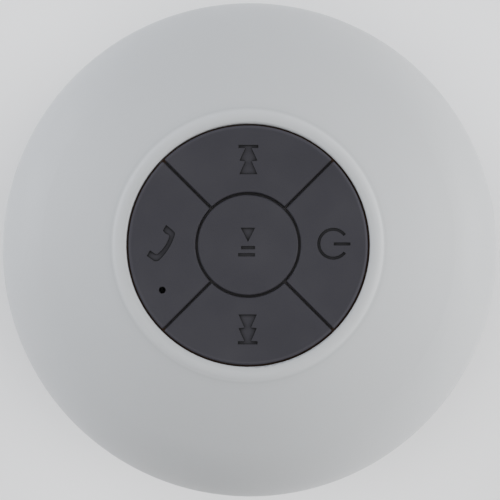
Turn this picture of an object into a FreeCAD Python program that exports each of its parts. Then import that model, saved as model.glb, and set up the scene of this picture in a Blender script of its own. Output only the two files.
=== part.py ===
"""Shower speaker: a splash-proof wireless loudspeaker that is held to a wall by its suction cup.

Millimetres. The origin is the centre of the suction cup's lip, on the surface that it is pressed against,
and +Z runs out through the keypad. +X points to the power key, which is at the top on a wall.
From the keypad inwards: five keys in a sealing membrane, the round board with its switches, the battery,
and a loudspeaker driver that fires backwards, through the slots of the rear cover, at the wall.
"""

import FreeCAD
import Part
import Sketcher
import math
import os
import re

# Driving dimensions: alias, value, what it is.
SIZES = [
    ("body_radius", 43.0, "largest radius of the body"),
    ("equator", 35.0, "height of the largest radius"),
    ("crown_radius", 68.0, "curve of the dome round the keypad"),
    ("shoulder_radius", 16.0, "curve of the dome above the largest radius"),
    ("brim_radius", 7.0, "curve of the dome below the largest radius"),
    ("skin_wall", 1.6, "silicone skin"),
    ("shell_depth", 1.7, "front shell's outer face, under the skin's"),
    ("shell_inner", 3.7, "front shell's inner face, under the skin's outer face"),
    ("collar_in", 20.6, "keypad opening"),
    ("collar_out", 22.93, "raised collar round the keypad"),
    ("collar_top", 55.0, "overall height"),
    ("collar_foot", 52.9, "underside of the collar"),
    ("lip_round", 0.4, "rounding of the collar's inner edge"),
    ("collar_round", 1.3, "width of the rounding of its outer edge"),
    ("skin_foot", 30.2, "lower edge of the skin"),
    ("skin_fold", 1.5, "thickness of the skin's fold under the shell"),
    ("fold_in", 38.7, "inner radius of that fold"),
    ("rim_inner", 38.4, "bore of the front shell at its rim"),
    ("rim_foot", 31.8, "lower face of the front shell"),
    ("seat_top", 52.2, "ledge that the keypad membrane lies on"),
    ("seat_foot", 50.7, "underside of that ledge"),
    ("seat_in", 20.6, "ledge's inner radius"),
    ("seat_out", 22.8, "ledge's outer radius"),
    ("membrane_radius", 22.6, "keypad membrane"),
    ("membrane_thick", 0.6, "keypad membrane"),
    ("key_top", 54.95, "top of the keys"),
    ("key_foot", 53.3, "underside of the key pads"),
    ("key_out", 20.28, "outer radius of the outer keys"),
    ("key_ring", 8.7, "middle of the groove round the centre key"),
    ("groove", 0.43, "width of the grooves between keys"),
    ("key_round", 0.22, "rounding of the keys' top edges"),
    ("key_rim_round", 0.42, "rounding of the outer keys' edge beside the collar"),
    ("key_stem", 14.3, "stem and symbol of an outer key, from the axis"),
    ("stem_radius", 1.7, "key stem"),
    ("stem_hole", 1.76, "membrane hole round the stem"),
    ("flange_radius", 2.5, "flange that keeps the key in the membrane"),
    ("flange_top", 52.15, "top of that flange"),
    ("flange_thick", 0.7, "its thickness"),
    ("stem_foot", 50.85, "tip of the stem"),
    ("symbol_depth", 0.3, "depth of the symbols"),
    ("stroke", 0.5, "line width of the symbols"),
    ("sound_hole", 0.58, "microphone hole"),
    ("mic_out", 14.5, "microphone, outward along the call key"),
    ("mic_side", 7.63, "microphone, sideways on the call key"),
    ("board_radius", 22.5, "main board"),
    ("board_top", 46.5, "top of the main board"),
    ("board_thick", 1.2, "main board"),
    ("switch_side", 6.0, "switch housing, square"),
    ("switch_tall", 3.1, "switch housing"),
    ("plunger_radius", 1.5, "switch plunger"),
    ("plunger_hole", 1.58, "its hole in the housing"),
    ("plunger_top", 50.82, "plunger at rest"),
    ("plunger_foot", 48.2, "lower end of the plunger"),
    ("plunger_well", 47.4, "floor of its hole"),
    ("post_ring", 21.0, "circle of the board posts"),
    ("post_radius", 2.2, "board posts"),
    ("boss_ring", 23.0, "circle of the four case screws"),
    ("boss_radius", 2.8, "screw bosses and tubes"),
    ("boss_foot", 22.6, "lower end of the front shell's bosses"),
    ("boss_pilot", 1.3, "screw hole in a boss"),
    ("pilot_deep", 12.0, "its depth"),
    ("screw_bore", 1.5, "case screw's way through the cover and the baffle"),
    ("screw_recess", 2.4, "recess for the screw's head"),
    ("recess_deep", 1.8, "its depth"),
    ("screw_head", 2.2, "case screw's head"),
    ("head_tall", 1.6, "its height"),
    ("fuse_top", 51.0, "height that posts and bosses run up to, inside the shell's wall"),
    ("base_foot", 13.2, "outer face of the rear cover's base"),
    ("base_inner", 15.4, "inner face of that base"),
    ("base_corner", 26.9, "radius where the base meets the cone"),
    ("base_round", 0.9, "how far the rounding of that edge reaches"),
    ("cone_angle", 50.5, "slope of the cone"),
    ("cover_rim", 40.6, "radius of the rear cover's rim"),
    ("cover_wall", 2.2, "wall of the cone"),
    ("cover_shoulder", 30.1, "face under the skin's fold"),
    ("spigot_out", 38.2, "spigot inside the front shell"),
    ("spigot_in", 36.4, "its inner radius"),
    ("spigot_top", 35.0, "its upper end"),
    ("seal_groove", 37.1, "bottom of the seal's groove"),
    ("seal_low", 32.4, "groove's lower face"),
    ("seal_high", 33.8, "groove's upper face"),
    ("socket_hole", 6.08, "hole for the suction cup's neck"),
    ("socket_in", 7.8, "hollow for the suction cup's head"),
    ("socket_out", 10.0, "outside of that hollow's wall"),
    ("socket_top", 19.0, "roof of that hollow"),
    ("socket_roof", 19.7, "top of the roof"),
    ("slot_count", 24, "sound slots"),
    ("slot_width", 2.2, "sound slot"),
    ("slot_long", 4.7, "sound slot, along the cone"),
    ("slot_height", 16.6, "middle of the slots"),
    ("baffle_foot", 20.5, "underside of the baffle"),
    ("baffle_top", 22.5, "top of the baffle"),
    ("baffle_in", 18.3, "opening for the driver"),
    ("baffle_out", 29.3, "outer radius of the baffle"),
    ("cup_radius", 29.0, "suction cup's lip"),
    ("cup_hollow", 27.2, "edge of the suction cup's hollow"),
    ("cup_depth", 5.6, "depth of the hollow"),
    ("lip_thick", 1.0, "suction cup's lip"),
    ("hub_radius", 9.6, "suction cup's hub"),
    ("hub_top", 13.0, "hub's upper face"),
    ("neck_radius", 6.0, "suction cup's neck"),
    ("head_radius", 7.4, "suction cup's head"),
    ("head_foot", 15.7, "underside of the head"),
    ("head_top", 18.6, "top of the head"),
    ("driver_front", 23.3, "front plane of the driver"),
    ("driver_radius", 20.0, "driver's rim"),
    ("cone_in", 6.75, "cone's inner edge, on the voice coil"),
    ("cone_edge", 16.6, "cone's outer edge"),
    ("cone_foot", 24.3, "lower face of the cone's edge"),
    ("coil_in", 6.3, "voice coil"),
    ("coil_out", 6.7, "voice coil"),
    ("coil_foot", 28.2, "lower end of the voice coil"),
    ("coil_top", 33.8, "its upper end"),
    ("pole_radius", 6.0, "magnet's pole"),
    ("plate_foot", 31.5, "lower face of the pole and its plate"),
    ("plate_top", 33.0, "top of the plate"),
    ("magnet_top", 36.0, "top of the magnet"),
    ("yoke_radius", 13.0, "plate and yoke"),
    ("yoke_top", 37.5, "back of the driver"),
    ("battery_foot", 38.3, "underside of the battery"),
    ("battery_long", 35.0, "battery"),
    ("battery_wide", 20.0, "battery"),
    ("battery_thick", 5.0, "battery"),
    ("lead_radius", 0.5, "insulated wires"),
    ("port_height", 26.0, "charging port"),
    ("port_wide", 12.0, "recess of the charging port, round the body"),
    ("port_high", 7.0, "recess, up the cone"),
    ("port_deep", 1.0, "recess"),
    ("mouth_wide", 8.6, "opening behind the flap"),
    ("mouth_high", 3.6, "opening behind the flap"),
]
ALIASES = {alias for alias, _, _ in SIZES}

doc = FreeCAD.newDocument("shower_speaker")
sheet = doc.addObject("Spreadsheet::Sheet", "Sizes")
for row, (alias, number, meaning) in enumerate(SIZES, start=1):
    sheet.set(f"A{row}", meaning)
    sheet.set(f"B{row}", str(number))
    sheet.setAlias(f"B{row}", alias)
doc.recompute()

# Lines of the outer surface, as formulas of the sheet's cells.
SHOULDER_X = "(body_radius - shoulder_radius)"
CROWN_RISE = f"sqrt((crown_radius - shoulder_radius)^2 - {SHOULDER_X}^2)"
CROWN_Z = f"(equator - {CROWN_RISE})"
BRIM_X = "(body_radius - brim_radius)"
SLOPE = "tan(cone_angle)"
PORT_X = f"(base_corner + (port_height - base_foot) / {SLOPE})"
PORT_TILT = "cone_angle - 180"
KEY_IN = "(key_ring + groove / 2)"

parts = []


# ---------------------------------------------------------------- helpers


def full(formula):
    """The formula with each alias as the spreadsheet cell that it names."""

    def cell(word):
        return f"Sizes.{word[0]}" if word[0] in ALIASES else word[0]

    return re.sub(r"[a-z_]+", cell, str(formula))


def value(formula):
    """What a formula comes to, as a plain number."""
    return float(sheet.evalExpression(full(formula)))


def bind(thing, path, formula):
    """Binds a property to a formula of the sheet."""
    thing.setExpression(path, full(formula))


def name_part(thing, label):
    """Makes an object a sub-part under that name."""
    thing.Label = label
    parts.append(thing)
    return thing


def place(thing, x="0", y="0", z="0", turn="0", axis=(0, 0, 1)):
    """Places an object by formulas, turned about an axis by a formula in degrees."""
    angle = value(turn)
    if angle:
        thing.Placement = FreeCAD.Placement(FreeCAD.Vector(), FreeCAD.Rotation(FreeCAD.Vector(*axis), angle))
    for letter, formula in zip("xyz", (x, y, z)):
        bind(thing, f"Placement.Base.{letter}", formula)
    return thing


def new_body(label):
    body = doc.addObject("PartDesign::Body", label)
    return name_part(body, label)


def origin_of(body, role):
    return next(item for item in body.Origin.OriginFeatures if item.Role == role)


def new_sketch(body, plane="XY_Plane", x="0", y="0", z="0", tilt="0", turn="0"):
    """A sketch on a body's origin plane, moved by formulas, tilted about Y and then turned about Z."""
    sketch = body.newObject("Sketcher::SketchObject", f"{body.Label}_outline")
    sketch.AttachmentSupport = (origin_of(body, plane), [""])
    sketch.MapMode = "FlatFace"
    across, about = FreeCAD.Vector(0, 1, 0), FreeCAD.Vector(0, 0, 1)
    rotation = FreeCAD.Rotation(about, value(turn)) * FreeCAD.Rotation(across, value(tilt))
    sketch.AttachmentOffset = FreeCAD.Placement(FreeCAD.Vector(), rotation)
    for letter, formula in zip("xyz", (x, y, z)):
        bind(sketch, f"AttachmentOffset.Base.{letter}", formula)
    return sketch


def pin_point(sketch, edge, end, direction, formula):
    """Holds one coordinate of an edge's end at a formula's value."""
    number = value(formula)
    if abs(number) < 1e-9:
        axis = -2 if direction == "DistanceX" else -1
        sketch.addConstraint(Sketcher.Constraint("PointOnObject", edge, end, axis))
        return
    ends = (-1, 1, edge, end) if number > 0 else (edge, end, -1, 1)
    index = sketch.addConstraint(Sketcher.Constraint(direction, *ends, abs(number)))
    signed = formula if number > 0 else f"-({formula})"
    bind(sketch, f"Constraints[{index}]", signed)


def draw(sketch, corners):
    """Draws a closed outline. A corner is (x, y), or (x, y, side, radius) where an arc runs on to the next
    corner, with its centre on that side ("left" or "right") of the way there."""
    points = [FreeCAD.Vector(value(corner[0]), value(corner[1]), 0) for corner in corners]
    starts, finishes = [], []
    for i, corner in enumerate(corners):
        here, there = points[i], points[(i + 1) % len(points)]
        if len(corner) == 2:
            edge = sketch.addGeometry(Part.LineSegment(here, there))
            begin, stop = 1, 2
        else:
            radius = value(corner[3])
            chord = there - here
            side = 1 if corner[2] == "left" else -1
            across = FreeCAD.Vector(-chord.y, chord.x, 0) * (side / chord.Length)
            reach = math.sqrt(max(radius**2 - (chord.Length / 2) ** 2, 0))
            centre = here + chord * 0.5 + across * reach
            first, last = (here, there) if side > 0 else (there, here)
            angles = [math.atan2(point.y - centre.y, point.x - centre.x) for point in (first, last)]
            circle = Part.Circle(centre, FreeCAD.Vector(0, 0, 1), radius)
            edge = sketch.addGeometry(Part.ArcOfCircle(circle, *angles))
            begin, stop = (1, 2) if side > 0 else (2, 1)
        starts.append((edge, begin))
        finishes.append((edge, stop))
    for i, finish in enumerate(finishes):
        start = starts[(i + 1) % len(starts)]
        sketch.addConstraint(Sketcher.Constraint("Coincident", *finish, *start))
    for corner, start in zip(corners, starts):
        pin_point(sketch, *start, "DistanceX", corner[0])
        pin_point(sketch, *start, "DistanceY", corner[1])
        if len(corner) > 2:
            index = sketch.addConstraint(Sketcher.Constraint("Radius", start[0], value(corner[3])))
            bind(sketch, f"Constraints[{index}]", corner[3])
    return sketch


def draw_circle(sketch, radius, x="0", y="0"):
    centre = FreeCAD.Vector(value(x), value(y), 0)
    edge = sketch.addGeometry(Part.Circle(centre, FreeCAD.Vector(0, 0, 1), value(radius)))
    index = sketch.addConstraint(Sketcher.Constraint("Radius", edge, value(radius)))
    bind(sketch, f"Constraints[{index}]", radius)
    pin_point(sketch, edge, 3, "DistanceX", x)
    pin_point(sketch, edge, 3, "DistanceY", y)
    return sketch


def draw_slab(sketch, wide, high, rounding):
    """A rectangle with rounded corners, centred on the sketch's origin."""
    x, y, r = f"({wide}) / 2", f"({high}) / 2", f"({rounding})"
    return draw(
        sketch,
        [
            (f"{x} - {r}", f"-({y})", "left", r),
            (x, f"-({y} - {r})"),
            (x, f"{y} - {r}", "left", r),
            (f"{x} - {r}", y),
            (f"-({x} - {r})", y, "left", r),
            (f"-({x})", f"{y} - {r}"),
            (f"-({x})", f"-({y} - {r})", "left", r),
            (f"-({x} - {r})", f"-({y})"),
        ],
    )


def turned(label, corners):
    """A round piece: an outline of radius and height, turned about the axis."""
    body = new_body(label)
    sketch = draw(new_sketch(body, "XZ_Plane"), corners)
    feature = body.newObject("PartDesign::Revolution", f"{label}_turn")
    feature.Profile = sketch
    feature.ReferenceAxis = (sketch, ["V_Axis"])
    feature.Angle = 360
    doc.recompute()
    return body


def turned_ring(label, inner, outer, foot, top):
    """A flat ring between two radii and two heights."""
    return turned(label, [(inner, foot), (outer, foot), (outer, top), (inner, top)])


def raise_pad(body, sketch, height):
    feature = body.newObject("PartDesign::Pad", f"{body.Label}_pad")
    feature.Profile = sketch
    bind(feature, "Length", height)
    doc.recompute()
    return feature


def sink(body, sketch, depth, upward=False):
    """A pocket from the sketch into the piece, against its normal, or along it where upward."""
    before = body.Shape.Volume
    feature = body.newObject("PartDesign::Pocket", f"{body.Label}_pocket")
    feature.Profile = sketch
    feature.Reversed = upward
    bind(feature, "Length", depth)
    doc.recompute()
    if body.Shape.Volume > before - 1e-3:
        raise RuntimeError(f"{body.Label}: a pocket cut nothing")
    return feature


def repeat(body, feature, count, angle="360"):
    """Repeats a feature round the axis."""
    pattern = body.newObject("PartDesign::PolarPattern", f"{body.Label}_pattern")
    pattern.Originals = [feature]
    pattern.Axis = (origin_of(body, "Z_Axis"), [""])
    pattern.Angle = value(angle)
    bind(pattern, "Occurrences", count)
    body.Tip = pattern
    doc.recompute()
    return pattern


def round_top(body, height, radius, within=None, beyond=None):
    """Rounds the edges that lie wholly at a height: all of them, those that come within a distance of the
    axis, or those that lie beyond it."""
    level = value(height)
    base = body.Tip
    names = []
    for i, edge in enumerate(base.Shape.Edges, start=1):
        ends = [edge.valueAt(place) for place in edge.ParameterRange]
        if any(abs(end.z - level) > 1e-4 for end in ends):
            continue
        reach = min(math.hypot(end.x, end.y) for end in ends)
        if (within is None or reach < value(within)) and (beyond is None or reach > value(beyond)):
            names.append(f"Edge{i}")
    feature = body.newObject("PartDesign::Fillet", f"{body.Label}_round")
    feature.Base = (base, names)
    bind(feature, "Radius", radius)
    doc.recompute()
    if feature.Shape.isNull():
        raise RuntimeError(f"{body.Label}: the rounding failed")
    return feature


def block(name, long, wide, tall, x="0", y="0", z="0"):
    """A box that is centred on x and y and stands on z."""
    box = doc.addObject("Part::Box", name)
    for path, formula in zip(("Length", "Width", "Height"), (long, wide, tall)):
        bind(box, path, formula)
    return place(box, f"({x}) - ({long}) / 2", f"({y}) - ({wide}) / 2", z)


def rod(name, radius, tall, x="0", y="0", z="0"):
    cylinder = doc.addObject("Part::Cylinder", name)
    bind(cylinder, "Radius", radius)
    bind(cylinder, "Height", tall)
    return place(cylinder, x, y, z)


def fuse(name, *shapes):
    result = doc.addObject("Part::MultiFuse", name)
    result.Shapes = list(shapes)
    return result


def cut(name, base, *tools):
    """The base less the tools."""
    result = doc.addObject("Part::Cut", name)
    result.Base = base
    result.Tool = tools[0] if len(tools) == 1 else fuse(f"{name}_tools", *tools)
    return result


def group(label, members):
    """Identical pieces in one node, each a solid of its own."""
    result = doc.addObject("Part::Compound", label)
    result.Links = members
    return name_part(result, label)


def on_ring(radius, degrees):
    """Formulas for x and y of a point on a circle round the axis."""
    return f"({radius}) * cos({degrees})", f"({radius}) * sin({degrees})"


def crown_height(radius, depth="0"):
    """Height of the dome at a radius near the keypad, on a surface that is depth under the outer one."""
    return f"({CROWN_Z} + sqrt((crown_radius - {depth})^2 - ({radius})^2))"


def crown_reach(height, depth):
    """Radius of the dome at a height near the keypad."""
    return f"sqrt((crown_radius - {depth})^2 - ({height} - {CROWN_Z})^2)"


def crown_end(depth="0"):
    """Where the crown's curve runs into the shoulder's."""
    share = f"(crown_radius - {depth}) / (crown_radius - shoulder_radius)"
    return f"({SHOULDER_X} * {share})", f"({CROWN_Z} + {CROWN_RISE} * {share})"


def brim_reach(height, depth="0"):
    """Radius of the dome at a height below the equator."""
    return f"({BRIM_X} + sqrt((brim_radius - {depth})^2 - (equator - {height})^2))"


def port_x(outward, up="0"):
    """X of a point by the charging port, from how far it is out of the cone's surface and up along it."""
    return f"-({PORT_X} + ({outward}) * sin(cone_angle) + ({up}) * cos(cone_angle))"


def port_z(outward, up="0"):
    return f"port_height - ({outward}) * cos(cone_angle) + ({up}) * sin(cone_angle)"


def cone_reach(height, depth="0"):
    """Radius of the rear cover's cone at a height, on a surface that is depth under the outer one."""
    return f"(base_corner + ({height} - base_foot) / {SLOPE} - ({depth}) / sin(cone_angle))"


# ---------------------------------------------------------------- casing


def make_front_skin():
    """Soft silicone skin: the dome with the raised collar, folded in under the shell's rim."""
    inner = "skin_wall"
    fold_top = "(skin_foot + skin_fold)"
    collar_drop = f"(collar_top - {crown_height('collar_out')})"
    collar_curve = f"(collar_round^2 + {collar_drop}^2) / (2 * {collar_drop})"
    turned(
        "front_skin",
        [
            ("collar_in", "collar_foot"),
            ("collar_in", "collar_top - lip_round", "right", "lip_round"),
            ("collar_in + lip_round", "collar_top"),
            ("collar_out - collar_round", "collar_top", "right", collar_curve),
            ("collar_out", crown_height("collar_out"), "right", "crown_radius"),
            (*crown_end(), "right", "shoulder_radius"),
            ("body_radius", "equator", "right", "brim_radius"),
            (brim_reach("skin_foot"), "skin_foot"),
            ("fold_in", "skin_foot"),
            ("fold_in", fold_top),
            (brim_reach(fold_top, inner), fold_top, "left", f"brim_radius - {inner}"),
            (f"body_radius - {inner}", "equator", "left", f"shoulder_radius - {inner}"),
            (*crown_end(inner), "left", f"crown_radius - {inner}"),
            (crown_reach("collar_foot", inner), "collar_foot"),
        ],
    )


def make_front_shell():
    """Hard inner shell, with the keypad's ledge, four screw bosses and three board posts."""
    outer, inner = "shell_depth", "shell_inner"
    rim_end = f"(equator + sqrt((shoulder_radius - {inner})^2 - (rim_inner - {SHOULDER_X})^2))"
    body = turned(
        "front_shell",
        [
            ("seat_in", "seat_top"),
            ("seat_out", "seat_top"),
            ("seat_out", crown_height("seat_out", outer), "right", f"crown_radius - {outer}"),
            (*crown_end(outer), "right", f"shoulder_radius - {outer}"),
            (f"body_radius - {outer}", "equator", "right", f"brim_radius - {outer}"),
            (brim_reach("rim_foot", outer), "rim_foot"),
            ("rim_inner", "rim_foot"),
            ("rim_inner", rim_end, "left", f"shoulder_radius - {inner}"),
            (*crown_end(inner), "left", f"crown_radius - {inner}"),
            (crown_reach("seat_foot", inner), "seat_foot"),
            ("seat_in", "seat_foot"),
        ],
    )
    boss = draw_circle(new_sketch(body, z="boss_foot"), "boss_radius", *on_ring("boss_ring", 45))
    pad = raise_pad(body, boss, "fuse_top - boss_foot")
    repeat(body, pad, "4")
    hole = draw_circle(new_sketch(body, z="boss_foot"), "boss_pilot", *on_ring("boss_ring", 45))
    repeat(body, sink(body, hole, "pilot_deep", upward=True), "4")
    post = draw_circle(new_sketch(body, z="board_top"), "post_radius", *on_ring("post_ring", 30))
    repeat(body, raise_pad(body, post, "fuse_top - board_top"), "3")
    pilot = draw_circle(new_sketch(body, z="board_top"), "0.8", *on_ring("post_ring", 30))
    repeat(body, sink(body, pilot, "4", upward=True), "3")


def make_rear_cover():
    """Hard rear cover: a flat base and a cone, with sound slots, the suction cup's socket and the port."""
    inner_foot = cone_reach("base_inner", "cover_wall")
    wall_meets = f"(base_foot + (spigot_in + cover_wall / sin(cone_angle) - base_corner) * {SLOPE})"
    rim_height = f"(base_foot + (cover_rim - base_corner) * {SLOPE})"
    body = turned(
        "rear_cover",
        [
            ("socket_hole", "base_foot"),
            ("base_corner - base_round", "base_foot", "left", "base_round / tan(cone_angle / 2)"),
            ("base_corner + base_round * cos(cone_angle)", "base_foot + base_round * sin(cone_angle)"),
            ("cover_rim", rim_height),
            ("cover_rim - 0.3", "cover_shoulder"),
            ("spigot_out", "cover_shoulder"),
            ("spigot_out", "seal_low"),
            ("seal_groove", "seal_low"),
            ("seal_groove", "seal_high"),
            ("spigot_out", "seal_high"),
            ("spigot_out", "spigot_top"),
            ("spigot_in", "spigot_top"),
            ("spigot_in", wall_meets),
            (inner_foot, "base_inner"),
            ("socket_out", "base_inner"),
            ("socket_out", "socket_roof"),
            ("0", "socket_roof"),
            ("0", "socket_top"),
            ("socket_in", "socket_top"),
            ("socket_in", "base_inner"),
            ("socket_hole", "base_inner"),
        ],
    )
    tube = draw_circle(new_sketch(body, z="base_foot + 0.5"), "boss_radius", *on_ring("boss_ring", 45))
    repeat(body, raise_pad(body, tube, "baffle_foot - base_foot - 0.5"), "4")
    bore = draw_circle(new_sketch(body, z="base_foot"), "screw_bore", *on_ring("boss_ring", 45))
    repeat(body, sink(body, bore, "baffle_foot - base_foot", upward=True), "4")
    recess = draw_circle(new_sketch(body, z="base_foot"), "screw_recess", *on_ring("boss_ring", 45))
    repeat(body, sink(body, recess, "recess_deep", upward=True), "4")
    x, y = on_ring(cone_reach("slot_height"), "180 / slot_count")
    slot = new_sketch(body, x=x, y=y, z="slot_height", tilt="180 - cone_angle", turn="180 / slot_count")
    half = "(slot_long - slot_width) / 2"
    draw(
        slot,
        [
            (half, "-slot_width / 2", "left", "slot_width / 2 * 1.001"),
            (half, "slot_width / 2"),
            (f"-{half}", "slot_width / 2", "left", "slot_width / 2 * 1.001"),
            (f"-{half}", "-slot_width / 2"),
        ],
    )
    repeat(body, sink(body, slot, "cover_wall + 1"), "slot_count")
    for wide, high, corner, depth in (
        ("port_wide", "port_high", "2", "port_deep"),
        ("mouth_wide", "mouth_high", "1", "cover_wall + 1.5"),
    ):
        port = new_sketch(body, x=f"-{PORT_X}", z="port_height", tilt=PORT_TILT)
        sink(body, draw_slab(port, high, wide, corner), depth)
    for side in ("", "-"):
        rib = new_sketch(body, x=port_x("-2"), z=port_z("-2"), tilt=PORT_TILT)
        draw(rib, [("-3.5", f"{side}7"), ("0.5", f"{side}7"), ("0.5", f"{side}8.2"), ("-3.5", f"{side}8.2")])
        pad = raise_pad(body, rib, "6")
        pad.Reversed = True
        doc.recompute()


def make_seal_ring():
    ring = name_part(doc.addObject("Part::Torus", "seal_ring"), "seal_ring")
    bind(ring, "Radius1", "(seal_groove + rim_inner) / 2")
    bind(ring, "Radius2", "(rim_inner - seal_groove) / 2 - 0.03")
    place(ring, z="(seal_low + seal_high) / 2")


def make_suction_cup():
    """Soft cup with a hub, and a neck and head that snap into the rear cover and turn there."""
    hollow = "(cup_hollow^2 + cup_depth^2) / (2 * cup_depth)"
    turned(
        "suction_cup",
        [
            ("0", "cup_depth", "right", hollow),
            ("cup_hollow", "0"),
            ("cup_radius", "0"),
            ("cup_radius + 0.3", "lip_thick / 2"),
            ("cup_radius", "lip_thick", "left", "48"),
            ("hub_radius + 2.4", "7.6", "right", "2.6"),
            ("hub_radius", "10"),
            ("hub_radius", "hub_top"),
            ("neck_radius", "hub_top"),
            ("neck_radius", "head_foot"),
            ("head_radius", "head_foot"),
            ("head_radius", "head_foot + 1"),
            ("neck_radius", "head_top"),
            ("0", "head_top"),
        ],
    )


# ---------------------------------------------------------------- keypad

# Each key's symbol, as outlines in millimetres from the keypad's centre, seen from the front.
PREVIOUS = [
    [
        ("-1.62", "16.42"),
        ("-0.48", "16.42"),
        ("-1.46", "14.28"),
        ("-0.49", "14.18"),
        ("-1.46", "11.98"),
        ("1.58", "11.98"),
        ("0.61", "14.18"),
        ("1.58", "14.28"),
        ("0.6", "16.42"),
        ("1.74", "16.42"),
        ("1.74", "16.92"),
        ("-1.62", "16.92"),
    ]
]
NEXT = [
    [
        ("-1.6", "-11.77"),
        ("1.48", "-11.77"),
        ("0.49", "-13.98"),
        ("1.48", "-14.08"),
        ("0.5", "-16.28"),
        ("1.6", "-16.28"),
        ("1.6", "-16.8"),
        ("-1.72", "-16.8"),
        ("-1.72", "-16.28"),
        ("-0.62", "-16.28"),
        ("-1.6", "-14.08"),
        ("-0.61", "-13.98"),
    ]
]
PLAY = [
    [("-1.22", "2.9"), ("1.2", "2.9"), ("0", "0.5")],
    [("-1.18", "-0.74"), ("1.18", "-0.74"), ("1.18", "-0.2"), ("-1.18", "-0.2")],
    [("-1.68", "-1.95"), ("1.18", "-1.95"), ("1.18", "-1.4"), ("-1.68", "-1.4")],
]
CALL = [
    [
        ("-13.86", "3.4"),
        ("-14.4", "2.43"),
        ("-14.03", "1.98"),
        ("-13.42", "1.72"),
        ("-13.33", "1.36", "right", "6"),
        ("-15.28", "-1.5"),
        ("-15.65", "-1.56"),
        ("-16.59", "-0.91"),
        ("-17.11", "-1.84"),
        ("-15.85", "-2.72", "left", "1.1"),
        ("-15.08", "-2.62", "left", "9.5"),
        ("-12.37", "1.72"),
        ("-12.4", "2.1"),
        ("-12.78", "2.5"),
    ]
]


def on_power_arc(radius, degrees):
    return f"14.4 + ({radius}) * cos({degrees})", f"0.19 + ({radius}) * sin({degrees})"


def power_symbol():
    """An open circle with a bar through its gap."""
    outer, inner = "2.44 + stroke / 2", "2.44 - stroke / 2"
    arc = [
        (*on_power_arc(outer, 37), "left", outer),
        (*on_power_arc(outer, 180), "left", outer),
        on_power_arc(outer, 323),
        (*on_power_arc(inner, 323), "right", inner),
        (*on_power_arc(inner, 180), "right", inner),
        on_power_arc(inner, 37),
    ]
    bar = [("14.5", "-0.1"), ("17.28", "-0.1"), ("17.28", "0.4"), ("14.5", "0.4")]
    return [arc, bar]


def sector_corner(radius, side):
    """Corner of an outer key on a circle, half a groove from the diagonal."""
    angle = f"(45 deg - asin(groove / 2 / ({radius})))"
    return f"({radius}) * cos({angle})", f"{side}({radius}) * sin({angle})"


def add_stem(body, x, y):
    """The stem that reaches down through the membrane, with the flange that keeps the key in."""
    stem = draw_circle(new_sketch(body, z="stem_foot"), "stem_radius", x, y)
    raise_pad(body, stem, "key_foot + 0.2 - stem_foot")
    flange = draw_circle(new_sketch(body, z="flange_top - flange_thick"), "flange_radius", x, y)
    raise_pad(body, flange, "flange_thick")


def engrave(body, outlines):
    sketch = new_sketch(body, z="key_top")
    for outline in outlines:
        draw(sketch, outline)
    sink(body, sketch, "symbol_depth")


def make_centre_key():
    body = new_body("key_play")
    disc = draw_circle(new_sketch(body, z="key_foot"), "key_ring - groove / 2")
    raise_pad(body, disc, "key_top - key_foot")
    round_top(body, "key_top", "key_round")
    add_stem(body, "0", "0")
    engrave(body, PLAY)


def make_outer_key(label, degrees, outlines):
    """One of the four keys round the centre one; degrees is where it lies."""
    body = new_body(label)
    inner, outer = KEY_IN, "key_out"
    sketch = new_sketch(body, z="key_foot", turn=degrees)
    draw(
        sketch,
        [
            (*sector_corner(outer, "-"), "left", outer),
            sector_corner(outer, ""),
            (*sector_corner(inner, ""), "right", inner),
            sector_corner(inner, "-"),
        ],
    )
    raise_pad(body, sketch, "key_top - key_foot")
    round_top(body, "key_top", "key_rim_round", beyond="key_out - 0.1")
    round_top(body, "key_top", "key_round", within="key_out - 1")
    add_stem(body, *on_ring("key_stem", degrees))
    engrave(body, outlines)
    return body


def make_keypad():
    make_centre_key()
    for label, degrees, outlines in (
        ("key_power", "0", power_symbol()),
        ("key_previous", "90", PREVIOUS),
        ("key_call", "180", CALL),
        ("key_next", "270", NEXT),
    ):
        key = make_outer_key(label, degrees, outlines)
        if label == "key_call":
            hole = draw_circle(new_sketch(key, z="key_top"), "sound_hole", "-mic_out", "-mic_side")
            sink(key, hole, "key_top - key_foot + 0.1")
    membrane = new_body("keypad_membrane")
    raise_pad(membrane, draw_circle(new_sketch(membrane, z="seat_top"), "membrane_radius"), "membrane_thick")
    holes = new_sketch(membrane, z="seat_top")
    for x, y in key_places():
        draw_circle(holes, "stem_hole", x, y)
    draw_circle(holes, "sound_hole", "-mic_out", "-mic_side")
    sink(membrane, holes, "membrane_thick", upward=True)


def key_places():
    """Where the five keys' stems and switches are: the centre, then from +X round."""
    return [("0", "0")] + [on_ring("key_stem", degrees) for degrees in (0, 90, 180, 270)]


# ---------------------------------------------------------------- electronics


def make_switches():
    """A switch under each key, with its plunger."""
    side = "switch_side"
    for word, (x, y) in zip(("play", "power", "previous", "call", "next"), key_places()):
        housing = block(f"switch_block_{word}", side, side, "switch_tall", x, y, "board_top")
        well = rod(f"switch_well_{word}", "plunger_hole", "switch_tall + 1", x, y, "plunger_well")
        name_part(cut(f"switch_{word}", housing, well), f"switch_{word}")
        plunger = rod(f"plunger_{word}", "plunger_radius", "plunger_top - plunger_foot", x, y, "plunger_foot")
        name_part(plunger, f"plunger_{word}")


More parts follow.
